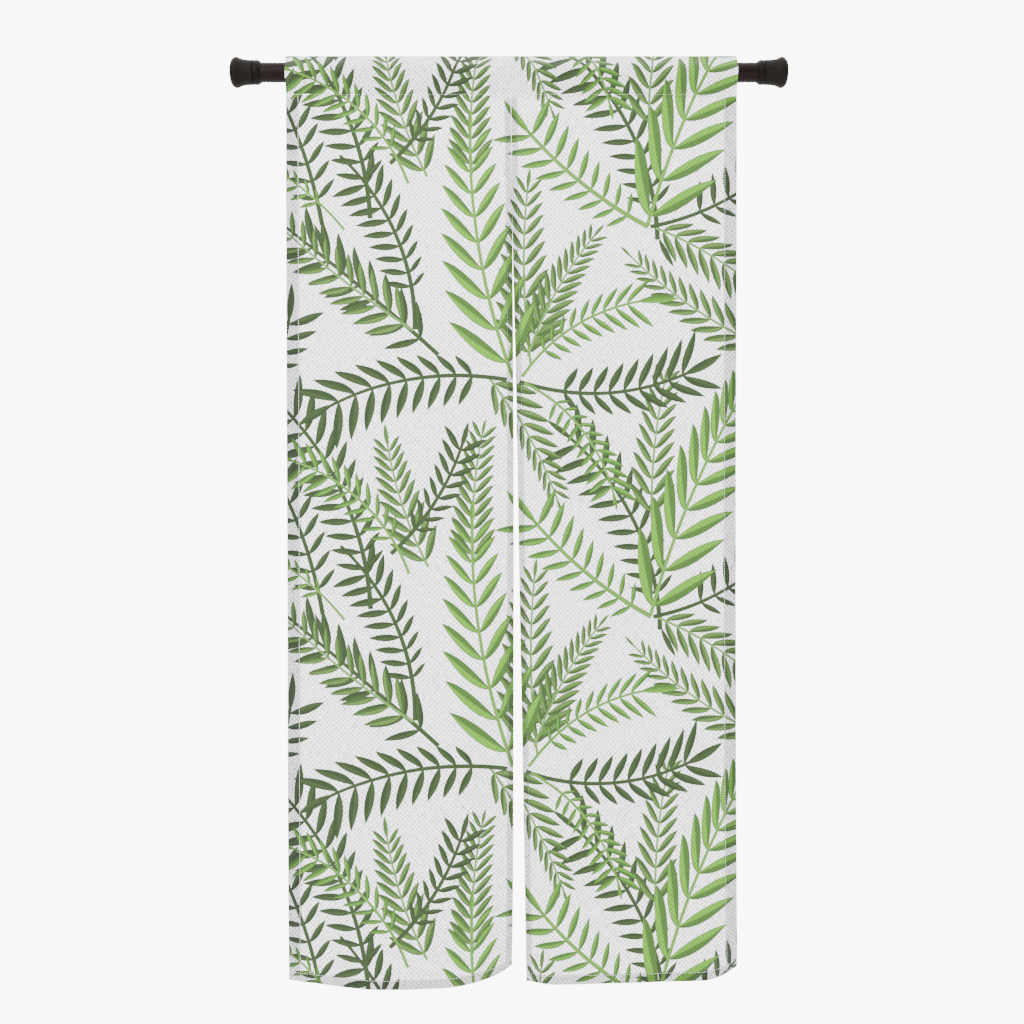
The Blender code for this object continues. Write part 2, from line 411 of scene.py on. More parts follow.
# long soft unevenness on top of the main folds: waves across and down, depth, and where each starts
unevenness = [
    {"across": 1.7, "down": 0.8, "depth": 0.0011, "turn": 0.4},
    {"across": 2.9, "down": 1.7, "depth": 0.0007, "turn": 2.1},
    {"across": 0.9, "down": 3.1, "depth": 0.0006, "turn": 4.0},
]
panels = {
    "left": {"side": -1, "folds": leftFolds, "outer": "leftOuter", "inner": "leftInner", "longer": 0.004},
    "right": {"side": 1, "folds": rightFolds, "outer": "rightOuter", "inner": "rightInner", "longer": 0.0},
}
creaseToSeam = cloth["creaseAbove"] + cloth["pocketSeamBelow"]


def panelLength(panel):
    return cloth["drop"] - creaseToSeam + panel["longer"]


def hemWidths(panel):
    if panel["side"] < 0:
        return cloth["outerHem"], cloth["innerHem"]
    return cloth["innerHem"], cloth["outerHem"]


def sidewaysPlace(panel, across, down):
    # straight across between the two edges at each height
    drop = creaseToSeam + np.asarray(down) * (cloth["drop"] - creaseToSeam) / panelLength(panel)
    outer = easeThrough(edgePlaces["drop"], edgePlaces[panel["outer"]], drop)
    inner = easeThrough(edgePlaces["drop"], edgePlaces[panel["inner"]], drop)
    outer += panel["side"] * cloth["panelWidth"]
    inner += panel["side"] * cloth["seamGap"] / 2
    first, last = (outer, inner) if panel["side"] < 0 else (inner, outer)
    return cloth["shift"] + first[:, None] + (last - first)[:, None] * across[None, :]


def restSurface(panel, across, down):
    # the back face of the hung sheet. across is the share of the width from the left edge, down is metres of
    # cloth below the pocket's seam. Depth is sway times down to a power, plus curl near the hem, plus small
    # waves. Height is what is left of each step down after the depth has taken its part
    folds = panel["folds"]
    sway, curl, lift = (easeThrough(folds["across"], folds[of], across) for of in ("sway", "curl", "lift"))
    fine = np.linspace(0, panelLength(panel), 500)
    share = fine / fine[-1]
    nearHem = np.clip((share - cloth["curlStarts"]) / (1 - cloth["curlStarts"]), 0, None)
    nearHem = nearHem ** cloth["curlPower"]
    depth = np.outer(share ** cloth["swayPower"], sway) + np.outer(nearHem, curl)
    settle = smoothStep(0, cloth["wavesSettle"], share)[:, None]
    for wave in unevenness:
        turns = wave["across"] * across[None, :] + wave["down"] * share[:, None]
        depth += wave["depth"] * settle * np.sin(2 * math.pi * turns + wave["turn"] + panel["side"])
    fall = np.sqrt(np.clip(fine[1] ** 2 - np.diff(depth, axis=0) ** 2, 0, None))
    fallen = np.concatenate([np.zeros((1, len(across))), np.cumsum(fall, axis=0)])
    height = np.outer(nearHem, lift) - fallen - cloth["pocketSeamBelow"]
    at = np.clip(down / fine[1], 0, len(fine) - 1.001)
    row = at.astype(int)
    part = (at - row)[:, None]
    y, z = (values[row] * (1 - part) + values[row + 1] * part for values in (depth, height))
    x = np.broadcast_to(sidewaysPlace(panel, across, down), y.shape)
    return np.stack([x, y, z], axis=-1)


def awayNormals(points):
    # unit normals of a grid whose rows run down and whose columns run right, pointing away from the viewer
    normal = np.cross(np.gradient(points, axis=1), np.gradient(points, axis=0))
    return normal / lengths(normal)


def pocketLoop():
    # the middle line of the cloth in the pocket, as (y, z), from the seam up the back, over the rod and down
    # the front: straight to the rod, round it, straight to a small round crease, and the same mirrored. The
    # points are evened out, but those of the crease are kept
    half = cloth["solidSheet"] / 2
    hug = cloth["rodRadius"] + cloth["pocketEase"] + half
    top = cloth["creaseAbove"] - half - cloth["creaseRadius"]
    rise = math.asin((hug - cloth["creaseRadius"]) / top)
    seam = np.array([half, -cloth["pocketSeamBelow"]])
    fall = math.atan2(seam[1], seam[0]) + math.acos(hug / np.linalg.norm(seam))
    aroundSteps, overSteps = 24, 7
    around = np.linspace(fall, rise, aroundSteps)
    over = np.linspace(rise, math.pi / 2, overSteps)
    back = np.concatenate([
        seam[None, :],
        hug * np.stack([np.cos(around), np.sin(around)], axis=1),
        [0, top] + cloth["creaseRadius"] * np.stack([np.cos(over), np.sin(over)], axis=1),
    ])
    loop = np.concatenate([back, back[-2::-1] * [-1, 1]])
    along = np.concatenate([[0], np.cumsum(np.linalg.norm(np.diff(loop, axis=0), axis=1))])
    crease = along[aroundSteps:aroundSteps + 2 * overSteps - 2]
    places = np.unique(np.concatenate([np.arange(0, along[-1], cloth["pocketStep"]), crease, [along[-1]]]))
    even = np.stack([np.interp(places, along, loop[:, i]) for i in (0, 1)], axis=1)
    return even, places - along[-1] / 2


def crowdedSteps(length, spacing, crowd, clearance=0.00022):
    # even steps, and closer ones about the places in crowd
    close = np.concatenate([place + np.array([-0.0012, -0.0005, 0, 0.0005, 0.0012]) for place in crowd])
    edge = np.array([0.0, 0.00035, 0.0008, 0.0014])
    steps = np.concatenate([np.arange(spacing, length - spacing / 2, spacing), close, edge, length - edge])
    steps = np.unique(np.round(np.clip(steps, 0, length), 5))
    keep = np.concatenate([[True], np.diff(steps) > clearance])
    keep[-1] = True
    return steps[keep]


def edgeFullness(distance):
    # a sheet's edge is round: full thickness inside edgeRound, thin at the very edge
    u = np.clip(distance / cloth["edgeRound"], 0, 1)
    return cloth["edgeThin"] + (1 - cloth["edgeThin"]) * np.sqrt(1 - (1 - u) ** 2)


def panelGrid(panel):
    # the whole strip of cloth, from the end of the flap behind the pocket's seam, up and over the rod and
    # down to the hem, as the middle surface with its outward normals and its place on the flat cloth
    width, length = cloth["panelWidth"], panelLength(panel)
    leftHem, rightHem = hemWidths(panel)
    columns = crowdedSteps(width, cloth["columnStep"], [leftHem, width - rightHem])
    across = columns / width
    half = cloth["solidSheet"] / 2
    flap = np.array([1.0, 0.94, 0.82, 0.5, 0.0]) * cloth["seamAllowance"]
    tailRows = crowdedSteps(length, cloth["rowStep"], [length - cloth["bottomHem"]])
    tail = restSurface(panel, across, tailRows)
    away = awayNormals(tail)
    behind = restSurface(panel, across, flap[::-1])[::-1]
    loop, loopPlaces = pocketLoop()
    slope = np.gradient(loop, axis=0)
    out = np.stack([0 * slope[:, 0], slope[:, 1], -slope[:, 0]], axis=1)
    out /= lengths(out)
    topX = sidewaysPlace(panel, across, np.zeros(1))[0]
    ring = np.stack(np.broadcast_arrays(topX[None, :], loop[1:-1, 0:1], loop[1:-1, 1:2]), axis=-1)
    ringOut = np.broadcast_to(out[1:-1, None, :], ring.shape)
    awayFlap = np.broadcast_to(away[:1], behind.shape)
    return {
        "columns": columns,
        "middle": np.concatenate([behind + awayFlap * half, ring, tail - away * half]),
        "outward": np.concatenate([awayFlap, ringOut, -away]),
        "drop": np.concatenate([loopPlaces[0] - flap, loopPlaces[1:-1], loopPlaces[-1] + tailRows]),
        "fromSeam": np.concatenate([-flap, np.zeros(len(ring)), tailRows]),
        "tailStarts": len(flap) + len(ring),
        "loopHalf": loopPlaces[-1],
    }


def panelMasks(panel, grid):
    # for each column, row or place of the grid: whether a turned hem lies behind, how full the edge is, and
    # how far the hems' stitch lines are
    columns, fromSeam = grid["columns"], grid["fromSeam"]
    width, length = cloth["panelWidth"], panelLength(panel)
    leftHem, rightHem = hemWidths(panel)
    step, inset = cloth["hemStep"], cloth["stitchInset"]
    pastLeft, pastRight = columns - leftHem, columns - width + rightHem
    pastBottom = fromSeam - length + cloth["bottomHem"]
    inSide = np.maximum(smoothStep(step, -step, pastLeft), smoothStep(-step, step, pastRight))[None, :]
    inBottom = smoothStep(-step, step, pastBottom)[:, None]
    onTail = smoothStep(0.0, 2 * step, fromSeam - cloth["seamAllowance"])[:, None]
    sideEdge = np.minimum(columns, width - columns)[None, :]
    fullness = edgeFullness(sideEdge) * edgeFullness((length - fromSeam)[:, None])
    return {
        "inSide": inSide, "inBottom": inBottom, "onTail": onTail,
        "hem": np.maximum(inSide, inBottom) * onTail,
        "full": fullness * edgeFullness(cloth["seamAllowance"] + fromSeam[:, None]),
        "sideStitch": np.minimum(abs(pastLeft + inset), abs(pastRight - inset))[None, :],
        "bottomStitch": abs(pastBottom - inset)[:, None],
    }


def joinedSkins(rows, count):
    # the quads of two grids of points, one behind the other, and of the rim that joins them
    index = np.arange(rows * count).reshape(rows, count)
    front = [index[:-1, :-1], index[1:, :-1], index[1:, 1:], index[:-1, 1:]]
    rim = np.concatenate([index[0, :-1], index[:-1, -1], index[-1, :0:-1], index[:0:-1, 0]])
    behind = rows * count
    quads = [
        np.stack(front, axis=-1),
        np.stack(front[::-1], axis=-1) + behind,
        np.stack([rim, np.roll(rim, -1), np.roll(rim, -1) + behind, rim + behind], axis=-1),
    ]
    return np.concatenate([part.reshape(-1, 4) for part in quads])


def flatPlaces(panel, grid, masks):
    # the place on the flat cloth: metres right of the curtain's middle, and metres below the top crease.
    # Behind a hem the cloth is folded over, so its printed face shows there and carries on past the edge
    columns = grid["columns"]
    flatX = (columns - cloth["panelWidth"] if panel["side"] < 0 else columns)[None, :]
    onDrop = grid["drop"][:, None]
    edgeX = np.where(columns < cloth["panelWidth"] / 2, flatX[0, 0], flatX[0, -1])
    hemEnd = grid["loopHalf"] + panelLength(panel)
    inSide, inBottom, onTail = masks["inSide"], masks["inBottom"], masks["onTail"] > 0.5
    turnedX = np.where((inSide > 0.5) & onTail, 2 * edgeX - flatX, flatX)
    turnedDrop = np.where((inBottom > 0.5) & (inSide < 0.5) & onTail, 2 * hemEnd - onDrop, onDrop)
    front = np.stack(np.broadcast_arrays(flatX, onDrop), axis=-1)
    back = np.stack(np.broadcast_arrays(turnedX, turnedDrop), axis=-1)
    return np.concatenate([front.reshape(-1, 2), back.reshape(-1, 2)])


# how the two skins lie on the bake map, side by side with a margin round each
bakeMap = {"margin": 0.01, "skinWidth": 0.48, "backStarts": 0.5}


def bakePlaces(grid):
    columns, drop = grid["columns"], grid["drop"]
    margin = bakeMap["margin"]
    acrossSkin = margin + bakeMap["skinWidth"] * (columns / cloth["panelWidth"])[None, :]
    upSkin = margin + (1 - 2 * margin) * (1 - (drop - drop[0]) / (drop[-1] - drop[0]))[:, None]
    skin = np.stack(np.broadcast_arrays(acrossSkin, upSkin), axis=-1).reshape(-1, 2)
    return np.concatenate([skin, skin + [bakeMap["backStarts"], 0.0]])


# the print's strength on the back of the cloth, how much painted shade the pocket's extra layers get where a
# hem gets 1, and how far below the pocket's seam this painted shade is still full and then gone
marks = {"printBehind": 0.36, "pocketShade": 0.35, "shadeFull": 0.006, "shadeEnds": 0.012}


def clothPanel(name, panel, finishes):
    # front and back skins of the strip, each the middle surface moved along its normals, joined round the rim
    grid = panelGrid(panel)
    masks = panelMasks(panel, grid)
    columns, fromSeam, hem = grid["columns"], grid["fromSeam"], masks["hem"]
    rows, count = len(fromSeam), len(columns)
    nearStitch = np.minimum(masks["sideStitch"], masks["bottomStitch"])
    groove = cloth["grooveDepth"] * np.exp(-(nearStitch / cloth["grooveReach"]) ** 2)
    halfSheet = cloth["sheet"] / 2
    outer = grid["middle"] + grid["outward"] * (halfSheet * masks["full"] - groove)[..., None]
    behind = (halfSheet + cloth["hemExtra"] * hem) * masks["full"]
    inner = grid["middle"] - grid["outward"] * behind[..., None]
    points = np.concatenate([outer.reshape(-1, 3), inner.reshape(-1, 3)])
    faces = joinedSkins(rows, count)
    made = addMesh(name, points, faces.tolist(), finishes[0])
    # each strip across the panel has the material with the fronds that reach it
    for finish in finishes[1:]:
        made.data.materials.append(finish)
    strip = np.minimum(columns / cloth["panelWidth"] * len(finishes), len(finishes) - 0.01).astype(np.int32)
    made.data.polygons.foreach_set("material_index", np.tile(strip, 2 * rows)[faces].min(axis=1))
    setUv(made, "OFBake", faces, bakePlaces(grid))
    setUv(made, "clothPlace", faces, flatPlaces(panel, grid, masks))
    ink = np.where(hem > 0.5, 1.0, marks["printBehind"])
    setValue(made, "ink", np.concatenate([np.ones(rows * count), ink.ravel()]))
    # painted shade: hems and the pocket get a darker colour, standing in for the light that more layers of
    # cloth hold back
    inPocket = smoothStep(marks["shadeEnds"], marks["shadeFull"], fromSeam)[:, None]
    setValue(made, "layers", np.tile(np.maximum(hem, marks["pocketShade"] * inPocket).ravel(), 2))
    # 1 on a sewn line, fading away from it, for the puckers beside it
    nearSewn = np.minimum(nearStitch, abs(fromSeam)[:, None])
    setValue(made, "sewnNear", np.tile(np.exp(-nearSewn / cloth["puckerReach"]).ravel(), 2))
    return made, grid


# the print: fronds of pointed leaflets on both sides of a curved stem

chart = {
    "unit": 0.001917,  # the chart is drawn in units of this size
    "middleX": 511.4,  # the curtain's middle on the chart
    "creaseY": 50.7,  # the top crease on the chart
    "repeat": 390.0,  # the print repeats down the cloth
}
inks = {
    "forest": {"light": (0.029, 0.055, 0.015, 1), "dark": (0.019, 0.038, 0.010, 1),
               "edge": (0.013, 0.027, 0.008, 1), "stem": (0.025, 0.049, 0.013, 1)},
    "leaf": {"light": (0.076, 0.165, 0.028, 1), "dark": (0.033, 0.072, 0.015, 1),
             "edge": (0.020, 0.046, 0.011, 1), "stem": (0.104, 0.235, 0.047, 1)},
    "spring": {"light": (0.088, 0.245, 0.020, 1), "dark": (0.040, 0.112, 0.016, 1),
               "edge": (0.028, 0.080, 0.013, 1), "stem": (0.095, 0.235, 0.030, 1)},
    "lime": {"light": (0.106, 0.300, 0.018, 1), "dark": (0.044, 0.112, 0.017, 1),
             "edge": (0.034, 0.085, 0.015, 1), "stem": (0.100, 0.250, 0.030, 1)},
}
# one row a frond, the lowest in the print first. base and tip are (x, y) on the chart, bulge is how far the
# stem bows to its right as it grows, and bare is the stem below the first pair of leaves. pitch is the step
# between pairs at the base and at the tip. left and right give the leaflets' slant in degrees, and their
# length at the base and at the tip. slim is a leaflet's width over its length, stem is the stem's width, and
# end is the length of the leaf at the tip. closing, where it is given, is how much less the slant is at the
# tip, on the left and on the right. Rows whose leaves have next to no length draw the leaf at the tip alone
frondColumns = "ink base tip bulge bare leaves pitch left right slim stem end closing".split()
frondRows = [
    ("forest", (657, 240), (569, 51), 22, 37, 11, (15.5, 19), (72, 28, 42), (56, 24, 38), 0.21, 4.4, 34),
    ("forest", (656, 233), (658, 238), 0.02, 90, 1, (9, 9),
     (45, 0.01, 0.01), (45, 0.01, 0.01), 0.21, 2.3, 33),
    ("forest", (414, 330), (340, 156), 20, 43, 9, (14, 14), (75, 28, 36), (56, 19, 33), 0.235, 4.2, 0),
    ("forest", (370, 609), (275, 400), 22, 41, 11, (16.1, 17.5), (76, 30, 46), (58, 24, 42), 0.22, 4.4, 30),
    ("forest", (322, 225), (272, 80), 6, 26, 8, (18, 18), (70, 24, 30), (58, 26, 32), 0.23, 4.2, 20),
    ("forest", (328, 270), (327, 264), 0.03, 90, 1, (9, 9),
     (45, 0.01, 0.01), (45, 0.01, 0.01), 0.17, 2.3, 43),
    ("forest", (437, 355), (284, 226), 2, 24, 8, (20, 20), (62, 36, 36), (46, 36, 40), 0.21, 4.0, 24),
    ("forest", (270, 380), (288, 323), 2, 15, 4, (14, 15), (45, 22, 30), (70, 22, 36), 0.22, 4.0, 40),
    ("leaf", (472, 565), (480, 436), -4.5, 10, 11, (13, 10.5), (43, 33, 19), (43, 33, 19), 0.235, 2.1, 17),
    ("leaf", (427, 567), (387, 447), -5, 7, 10, (16.5, 9), (43, 37, 20), (43, 37, 19), 0.235, 2.1, 23),
    ("leaf", (486, 376), (551, 498), -5, 10, 10, (17, 10), (47, 40, 18), (31, 31, 17), 0.23, 2.1, 16),
    ("leaf", (527, 365), (527, 190), -5, 12, 11, (19, 13), (42, 45, 20), (42, 45, 20), 0.225, 2.3, 22),
    ("leaf", (524, 357), (592, 238), -6, 10, 12, (13, 9.5), (40, 38, 17), (40, 38, 17), 0.225, 2.1, 18),
    ("leaf", (649, 520), (663, 384), -4, 8, 10, (17, 12), (42, 36, 20), (42, 36, 20), 0.23, 2.1, 18),
    ("leaf", (650, 226), (760, 290), -5, 14, 9, (13, 15), (40, 30, 38), (45, 33, 38), 0.22, 2.1, 20),
    ("leaf", (760, 345), (631, 257.5), -7, 6, 11, (18, 9.5), (40, 37, 17), (40, 37, 17), 0.225, 2.1, 16),
    ("leaf", (412, 331), (286, 232), -3, 12, 10, (16, 15), (54, 38, 26), (48, 38, 26), 0.22, 2.3, 24),
    ("forest", (390, 554), (459, 449), 8, 34, 8, (12.5, 13.5), (50, 20, 29), (54, 20, 27), 0.235, 4.0, 28),
    ("forest", (505, 380), (333, 404.5), 13.8, 35, 9, (15.5, 18.5),
     (71, 32, 45), (54, 26, 42), 0.24, 4.0, 42, (6, 5)),
    ("forest", (515, 382), (682.5, 375), 15, 46.5, 9, (15.3, 15.6),
     (69, 29, 40), (57, 25, 37), 0.24, 4.0, 45, (17, 7)),
    ("forest", (650, 227), (760, 178), 7, 52, 5, (16, 16), (70, 31, 34), (57, 24, 24), 0.22, 3.8, 24),
    ("spring", (408, 574), (295, 462), 18, 40, 10, (12.5, 12.5), (60, 22, 34), (48, 22, 30), 0.2, 2.6, 24),
    ("spring", (344, 230), (275, 170), 4, 38, 5, (13, 12), (60, 19, 20), (40, 14, 18), 0.23, 2.3, 16),
    ("spring", (520, 383), (609, 491), -15, 38, 11, (10.5, 10), (53, 14, 28), (75, 19, 27), 0.23, 2.6, 20),
    ("spring", (518, 377), (636, 302), -13.5, 35, 9, (11.5, 13),
     (57, 17, 27), (74, 21, 31), 0.23, 2.8, 42, (14, 18)),
    ("spring", (648, 227), (531, 135), -7, 23.7, 9, (14.3, 17), (63, 24, 37), (72, 23, 41), 0.205, 4.4, 44),
    ("lime", (511, 378), (470, 137), -11, 16, 9, (35, 18.2), (43, 65, 30), (43, 64, 30), 0.215, 3.4, 28),
    ("lime", (647, 226), (745, 0), -8, 10, 10, (38.5, 11.5), (31, 75, 36), (47, 71, 38), 0.21, 3.4, 36),
]
fronds = [dict(zip(frondColumns, row)) for row in frondRows]
# how a frond is drawn. A pair is a factor and what is added
frondLook = {
    "leafMask": (2.5, 0.95),  # the ink spreads a quarter of a chart unit past the drawn outline
    "halves": (4.2, 0.60),  # a soft step at the midrib, from the shaded half to the lit one
    "darkEdge": (0.75, 0.15),
    "stemMask": (3.0, 0.8),
    "stemThins": (-0.35, 1.1),
    "stemIntoLeaf": 0.4,
    "endSlim": 0.8,
    "endHalves": (0.25, 0.6),
    "sickle": 0.003,  # leaflets bend towards the tip
    "spare": 6,  # chart units round a frond where it still counts as near
}


def lens(way):
    return times(way, minus(1.0, way))


def buildFrondGroup():
    # the stem is an arc of a circle, so polar places about its centre give the way along the stem and the
    # distance from it. A leaflet leans by its slant: going back along the slant finds where on the stem it
    # starts, and the nearest start is its number. Its outline is a lens, w times one less w, pointed at both
    # ends. Side is lean, rise and leaf length at the base, and Change is how length grows from leaf to leaf
    # and how the lean changes along the stem
    origin, ink, side = (0.0, 0.0, 0.0), (0.1, 0.2, 0.05, 1.0), (1.0, 1.0, 20.0)
    group, given, results = startGroup("leafyFrond", {
        "Place": origin, "Under": (1.0, 1.0, 1.0, 1.0), "Middle": origin, "Bowed Way": (1.0, 0.0, 0.0),
        "Growing Way": (0.0, 1.0, 0.0), "Radius": 100.0, "Half Length": 50.0, "Starts At": 0.0,
        "Ends At": 100.0, "Crowding": 0.0, "Spread": 100.0, "Per Change": 1.0, "Change Offset": 0.0,
        "Last Leaf": 8.0, "Inner Side": side, "Outer Side": side, "Inner Change": origin,
        "Outer Change": origin, "Sickle": 0.002, "Slimness": 0.4, "Light From": 1.0, "Stem Width": 1.0,
        "End Leaf": 20.0, "Light": ink, "Dark": ink, "Edge": ink, "Stem": ink,
    }, {"Colour": "Color"})
    halfRepeat = chart["repeat"] / 2
    away = vectorCalc("SUBTRACT", given["Place"], given["Middle"])
    near = vectorCalc("WRAP", away, (9999.0, halfRepeat, 1.0), (-9999.0, -halfRepeat, -1.0))
    outward = plus(vectorCalc("DOT_PRODUCT", near, given["Bowed Way"]), given["Radius"])
    forward = vectorCalc("DOT_PRODUCT", near, given["Growing Way"])
    reach = calc("SQRT", timesPlus(outward, outward, times(forward, forward)))
    off = minus(reach, given["Radius"])
    along = timesPlus(calc("ARCTAN2", forward, outward), given["Radius"], given["Half Length"])
    isOuter = calc("GREATER_THAN", off, 0.0)
    aside = calc("ABSOLUTE", off)
    side = mixOf("VECTOR", isOuter, given["Inner Side"], given["Outer Side"])
    slant, rise, atBase = splitVector(side)
    change = mixOf("VECTOR", isOuter, given["Inner Change"], given["Outer Change"])
    growth, closing, _ = splitVector(change)
    lean = timesPlus(aside, given["Sickle"], timesPlus(along, closing, slant))
    start = calc("MAXIMUM", minus(along, times(aside, lean)), given["Starts At"])
    start = calc("MINIMUM", start, given["Ends At"])
    pitch = calc("SQRT", timesPlus(start, given["Crowding"], given["Spread"]))
    count = timesPlus(pitch, given["Per Change"], given["Change Offset"])
    leaf = calc("MAXIMUM", calc("ROUND", count), 0.0)
    leaf = calc("MINIMUM", leaf, given["Last Leaf"])
    across = times(times(minus(count, leaf), pitch), rise)
    longness = timesPlus(leaf, growth, atBase)
    outAlong = ratio(ratio(aside, rise), longness)
    half = times(times(lens(outAlong), longness), given["Slimness"])
    inside = minus(half, calc("ABSOLUTE", across))
    # one half of a leaflet is lit and the other shaded
    litSide = times(times(across, timesPlus(isOuter, 2.0, -1.0)), given["Light From"])
    shareOfHalf = ratio(litSide, calc("MAXIMUM", half, 0.1))
    tone = timesPlus(shareOfHalf, *frondLook["halves"], clamp=True)
    halves = mixColours(tone, given["Dark"], given["Light"])
    fromEdge = timesPlus(inside, *frondLook["darkEdge"], clamp=True)
    leafColour = mixColours(fromEdge, given["Edge"], halves)
    mask = timesPlus(inside, *frondLook["leafMask"], clamp=True)
    withLeaves = mixColours(mask, given["Under"], leafColour)
    # the stem runs a little way into the leaf at its tip, which is a lens too
    stemLength = times(given["Half Length"], 2.0)
    stemEnd = timesPlus(given["End Leaf"], frondLook["stemIntoLeaf"], stemLength)
    onStem = times(calc("GREATER_THAN", along, 0.0), calc("LESS_THAN", along, stemEnd))
    thinning = timesPlus(ratio(along, stemLength), *frondLook["stemThins"])
    stemHalf = timesPlus(onStem, timesPlus(given["Stem Width"], thinning, 1.0), -1.0)
    pastEnd = ratio(minus(along, stemLength), given["End Leaf"])
    endSlim = times(given["Slimness"], frondLook["endSlim"])
    endHalf = times(times(lens(pastEnd), given["End Leaf"]), endSlim)
    spine = minus(calc("MAXIMUM", stemHalf, endHalf), aside)
    spineMask = timesPlus(spine, *frondLook["stemMask"], clamp=True)
    endTone = timesPlus(times(off, given["Light From"]), *frondLook["endHalves"], clamp=True)
    endColour = mixColours(endTone, given["Dark"], given["Light"])
    spineColour = mixColours(calc("GREATER_THAN", pastEnd, 0.0), given["Stem"], endColour)
    connect(mixColours(spineMask, withLeaves, spineColour), results["Colour"])
    return group


def frondArc(frond):
    # the circle through base and tip that bows by bulge: its middle point, ways, radius and length
    base, tip = np.array(frond["base"], float), np.array(frond["tip"], float)
    chord = np.linalg.norm(tip - base)
    growing = (tip - base) / chord
    right = np.array([-growing[1], growing[0]])
    sign = 1 if frond["bulge"] >= 0 else -1
    bulge = abs(frond["bulge"])
    radius = (chord**2 / 4 + bulge**2) / (2 * bulge)
    half = radius * math.asin(min(1.0, chord / (2 * radius)))
    middle = (base + tip) / 2 + right * sign * bulge
    return middle, right * sign, growing, radius, half, sign


def addFrond(tree, group, place, under, frond):
    middle, bowed, growing, radius, half, sign = frondArc(frond)
    pitchBase, pitchTip = frond["pitch"]
    last = max(frond["leaves"] - 1, 1)
    change = (pitchTip - pitchBase) / last
    if abs(change) < 0.02:
        change = 0.02
    leafy = (pitchBase + pitchTip) / 2 * last
    sides = []
    for name, closing in zip(("left", "right"), frond.get("closing", (0, 0))):
        slant, atBase, atTip = frond[name]
        leanBase = 1 / math.tan(math.radians(slant))
        closes = (1 / math.tan(math.radians(slant - closing)) - leanBase) / leafy
        rise = math.sin(math.radians(slant - closing / 2))
        atStart = (leanBase - closes * frond["bare"], rise, float(atBase))
        sides.append((atStart, ((atTip - atBase) / last, closes, 0.0)))
    inner, outer = sides if sign > 0 else sides[::-1]
    return useGroup(
        tree, group, place=place, under=under,
        middle=(*middle, 0.0), bowedWay=(*bowed, 0.0), growingWay=(*growing, 0.0),
        radius=radius, halfLength=half,
        startsAt=frond["bare"] - pitchBase, endsAt=frond["bare"] + leafy + pitchTip,
        crowding=2 * change, spread=pitchBase**2 - 2 * change * frond["bare"],
        perChange=1 / change, changeOffset=-pitchBase / change, lastLeaf=float(last),
        innerSide=inner[0], innerChange=inner[1], outerSide=outer[0], outerChange=outer[1],
        sickle=frondLook["sickle"], slimness=frond["slim"] * 2, lightFrom=float(sign),
        stemWidth=frond["stem"] / 2, endLeaf=max(float(frond["end"]), 0.5), **inks[frond["ink"]],
    )["Colour"]


# a pair is a factor and what is added
weave = {
    "threadTurns": 2200.0,  # radians a metre of the fine threads, as slubTurns of the thick places
    "slubTurns": 690.0,
    "warpNoise": (420.0, 70.0, 0.0),
    "weftNoise": (120.0, 400.0, 0.0),
    "slubs": 1.2,  # what each adds to the thickness
    "rows": 0.3,
    "noise": 2.4,
    "threads": 0.35,
    "tone": (0.46, 0.99),  # thick places are lighter
    "lightest": 1.22,
    "showsThrough": (0.7, 0.3),
    "creepScale": 700.0,
    "creep": (0.4, -0.2),
    "puckerScale": (150.0, 150.0, 0.0),
    "puckerHeight": 5.0,
}


def buildWeaveGroup():
    # plain weave with thick and thin threads. Fine threads are two crossed sine waves. Thick places are a
    # product of two cosines, which staggers them from row to row, with level rows between them, broken up by
    # noise that is drawn out along the threads
    group, given, results = startGroup("wovenSlub", {
        "Place": (0.0, 0.0, 0.0), "Thread Turns": 2200.0, "Slub Turns": 690.0,
    }, {"Tone": "Float", "Height": "Float"})
    place = given["Place"]
    warp = noise(vectorCalc("MULTIPLY", place, weave["warpNoise"]), 1.0, 1.0)
    alongWeft = vectorCalc("MULTIPLY_ADD", place, weave["weftNoise"], (0.0, 0.0, 7.0))
    weft = noise(alongWeft, 1.0, 1.0)
    x, y, _ = splitVector(place)
    slubX, slubY = (calc("COSINE", times(way, given["Slub Turns"])) for way in (x, y))
    fineX, fineY = (calc("SINE", times(way, given["Thread Turns"])) for way in (x, y))
    uneven = timesPlus(plus(warp, weft), weave["noise"], -weave["noise"])
    rows = timesPlus(timesPlus(slubY, slubY, -0.5), weave["rows"], uneven)
    thick = timesPlus(times(slubX, slubY), weave["slubs"], rows)
    tone = calc("MINIMUM", timesPlus(thick, *weave["tone"]), weave["lightest"])
    connect(tone, results["Tone"])
    connect(timesPlus(times(fineX, fineY), weave["threads"], thick), results["Height"])
    return group


clothColours = {
    "white": (1.0, 1.0, 1.0, 1.0),
    "ground": (0.815, 0.810, 0.815, 1.0),
    "hem": (0.432, 0.4293, 0.4401, 1.0),  # painted shade: hems and pocket are painted darker, standing in for less light through more layers
}


